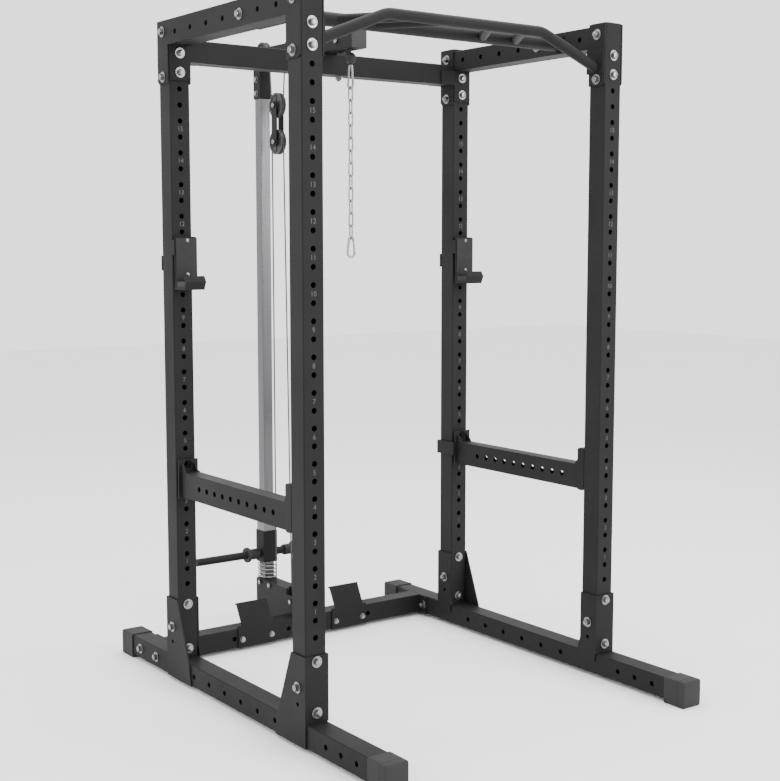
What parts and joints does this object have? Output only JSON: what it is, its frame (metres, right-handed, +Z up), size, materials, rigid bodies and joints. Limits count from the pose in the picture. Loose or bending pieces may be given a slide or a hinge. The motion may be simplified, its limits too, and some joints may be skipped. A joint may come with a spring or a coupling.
{
  "type": "power cage",
  "caption": "Steel squat cage with bar cups, safeties and a multi-grip pull-up bar, and a plate-loaded pull-down and low-row tower behind it.",
  "frame": {"origin": "middle of the footprint at floor level", "axes": "+Z up; the cage's open front faces -Y; the pulley tower stands at +Y; +X is to the right as seen from the front"},
  "size_m": [1.252, 1.649, 2.173],
  "materials": {
    "black_frame": "fine-textured matt black powder coat",
    "black_plastic": "moulded matt",
    "black_rubber": "moulded matt rubber",
    "zinc": "bright zinc plated",
    "satin_post": "satin nickel plated",
    "cable_jacket": "black nylon jacket over steel rope"
  },
  "bodies": {
    "frame": {"upright_front_left": "black_frame", "upright_front_right": "black_frame", "upright_rear_left": "black_frame", "upright_rear_right": "black_frame", "upright_caps": "black_plastic", "base_rail_left": "black_frame", "base_rail_right": "black_frame", "rail_end_caps": "black_rubber", "base_crossbeam": "black_frame", "foot_plate_left": "black_frame", "foot_plate_right": "black_frame", "top_beam_left": "black_frame", "top_beam_right": "black_frame", "rear_top_crossbeam": "black_frame", "pull_up_bar": "black_frame", "frame_bolts": "zinc", "frame_washers": "zinc", "frame_nuts": "zinc", "small_bolts": "zinc", "small_washers": "zinc", "small_nuts": "zinc", "guide_post": "satin_post", "post_top_sleeve": "black_frame", "tower_foot": "black_frame", "lat_beam": "black_frame", "lat_beam_caps": "black_plastic", "pulley_spacers": "zinc", "lat_cable": "cable_jacket", "low_cable": "cable_jacket", "bumper_spring": "zinc", "spring_seat": "black_rubber"},
    "carriage": {"plate_carriage": "black_frame", "carriage_bushes": "black_plastic", "peg_collars": "black_rubber"},
    "pulldown_end": {"stop_ball": "black_rubber", "top_carabiner": "zinc"},
    "top_gate": {"top_carabiner_gate": "zinc"},
    "chain": {"chain_links": "zinc", "end_carabiner": "zinc"},
    "end_gate": {"end_carabiner_gate": "zinc"},
    "front_pulley": {"beam_pulley_front": "black_plastic"},
    "middle_pulley": {"beam_pulley_middle": "black_plastic"},
    "rear_pulley": {"beam_pulley_rear": "black_plastic"},
    "travelling_block": {"block_plates": "black_frame", "block_axles": "zinc"},
    "block_upper_pulley": {"block_pulley_upper": "black_plastic"},
    "block_lower_pulley": {"block_pulley_lower": "black_plastic"},
    "low_row_pulley": {"low_pulley": "black_plastic"},
    "row_end": {"row_stop_ball": "black_rubber", "row_carabiner": "zinc"},
    "row_gate": {"row_carabiner_gate": "zinc"},
    "left_cup": {"bar_cup_left": "black_frame", "cup_liner_left": "black_plastic", "cup_screws_left": "zinc"},
    "right_cup": {"bar_cup_right": "black_frame", "cup_liner_right": "black_plastic", "cup_screws_right": "zinc"},
    "left_safety": {"safety_left": "black_frame"},
    "right_safety": {"safety_right": "black_frame"}
  },
  "joints": [
    {"name": "carriage_lift", "type": "slide", "parent": "frame", "child": "carriage", "axis": [0, 0, 1], "range_m": [0, 1.25], "deforming": ["lat_cable"]},
    {"name": "lat_pull", "type": "slide", "parent": "frame", "child": "pulldown_end", "axis": [0, 0, -1], "range_m": [0, 1.25]},
    {"name": "top_gate_hinge", "type": "hinge", "parent": "pulldown_end", "child": "top_gate", "pos_m": [0, 0.22851, 1.9831], "axis": [1, 0, 0], "range_deg": [0, 25], "stiffness_Nm_per_rad": 0.05, "springref_deg": -17.19},
    {"name": "chain_swing", "type": "hinge", "parent": "pulldown_end", "child": "chain", "pos_m": [0, 0.2155, 1.9718], "axis": [1, 0, 0], "range_deg": [-30, 30]},
    {"name": "end_gate_hinge", "type": "hinge", "parent": "chain", "child": "end_gate", "pos_m": [0.01292, 0.2155, 1.42217], "axis": [0, -1, 0], "range_deg": [0, 25], "stiffness_Nm_per_rad": 0.05, "springref_deg": -17.19},
    {"name": "front_pulley_spin", "type": "hinge", "parent": "frame", "child": "front_pulley", "pos_m": [0, 0.254, 2.116], "axis": [1, 0, 0], "range_deg": [0, 1861.3]},
    {"name": "middle_pulley_spin", "type": "hinge", "parent": "frame", "child": "middle_pulley", "pos_m": [0, 0.588, 2.116], "axis": [1, 0, 0], "range_deg": [0, 1861.3]},
    {"name": "rear_pulley_spin", "type": "hinge", "parent": "frame", "child": "rear_pulley", "pos_m": [0, 0.7755, 2.128], "axis": [1, 0, 0], "range_deg": [0, 1861.3]},
    {"name": "block_drop", "type": "slide", "parent": "frame", "child": "travelling_block", "axis": [0, 0, -1], "range_m": [0, 0.55], "deforming": ["low_cable"]},
    {"name": "upper_block_spin", "type": "hinge", "parent": "travelling_block", "child": "block_upper_pulley", "pos_m": [0, 0.6805, 1.939], "axis": [1, 0, 0], "range_deg": [-1861.3, 0]},
    {"name": "lower_block_spin", "type": "hinge", "parent": "travelling_block", "child": "block_lower_pulley", "pos_m": [0, 0.6805, 1.809], "axis": [1, 0, 0], "range_deg": [0, 819.5]},
    {"name": "low_pulley_spin", "type": "hinge", "parent": "frame", "child": "low_row_pulley", "pos_m": [0, 0.5701, 0.1325], "axis": [1, 0, 0], "range_deg": [-1638, 0]},
    {"name": "row_pull", "type": "slide", "parent": "frame", "child": "row_end", "axis": [0, -1, 0], "range_m": [0, 1.1]},
    {"name": "row_gate_hinge", "type": "hinge", "parent": "row_end", "child": "row_gate", "pos_m": [0, 0.42737, 0.08108], "axis": [1, 0, 0], "range_deg": [0, 25], "stiffness_Nm_per_rad": 0.05, "springref_deg": -17.19},
    {"name": "left_cup_release", "type": "slide", "parent": "frame", "child": "left_cup", "axis": [0, 1, 0], "range_m": [0, 0.0105]},
    {"name": "right_cup_release", "type": "slide", "parent": "frame", "child": "right_cup", "axis": [0, 1, 0], "range_m": [0, 0.0105]},
    {"name": "left_safety_release", "type": "slide", "parent": "frame", "child": "left_safety", "axis": [0, 1, 0], "range_m": [0, 0.0105]},
    {"name": "right_safety_release", "type": "slide", "parent": "frame", "child": "right_safety", "axis": [0, 1, 0], "range_m": [0, 0.0105]}
  ],
  "couplings": [
    {"joint": "lat_pull", "follows": "carriage_lift", "ratio": 1},
    {"joint": "front_pulley_spin", "follows": "carriage_lift", "rad_per_m": 25.974},
    {"joint": "middle_pulley_spin", "follows": "carriage_lift", "rad_per_m": 25.974},
    {"joint": "rear_pulley_spin", "follows": "carriage_lift", "rad_per_m": 25.974},
    {"joint": "upper_block_spin", "follows": "carriage_lift", "rad_per_m": -25.974},
    {"joint": "lower_block_spin", "follows": "block_drop", "rad_per_m": 25.974},
    {"joint": "low_pulley_spin", "follows": "block_drop", "rad_per_m": -51.948},
    {"joint": "row_pull", "follows": "block_drop", "ratio": 2}
  ]
}
